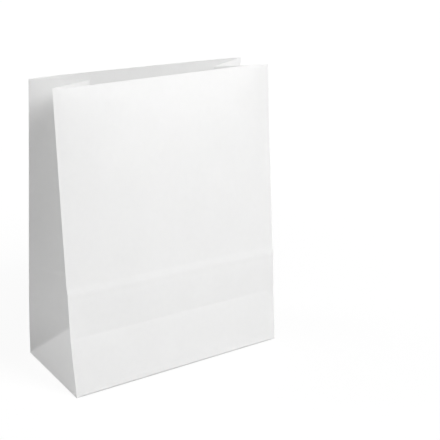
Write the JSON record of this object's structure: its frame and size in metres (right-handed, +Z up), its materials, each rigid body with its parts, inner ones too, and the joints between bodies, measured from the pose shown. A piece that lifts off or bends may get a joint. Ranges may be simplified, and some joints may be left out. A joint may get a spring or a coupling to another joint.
{
  "type": "paper lunch bag",
  "caption": "White paper bag with a flat rectangular base and tucked side gussets, standing open, folded and glued from one sheet.",
  "frame": {"origin": "middle of the base, on the surface that the bag stands on", "axes": "+Z up through the mouth, +X to the right across the front panel, -Y out of the front panel"},
  "size_m": [0.205, 0.0951, 0.2528],
  "materials": {
    "white_paper": "matt uncoated white kraft paper"
  },
  "bodies": {
    "root": {"paper_bag": "white_paper"}
  },
  "joints": []
}
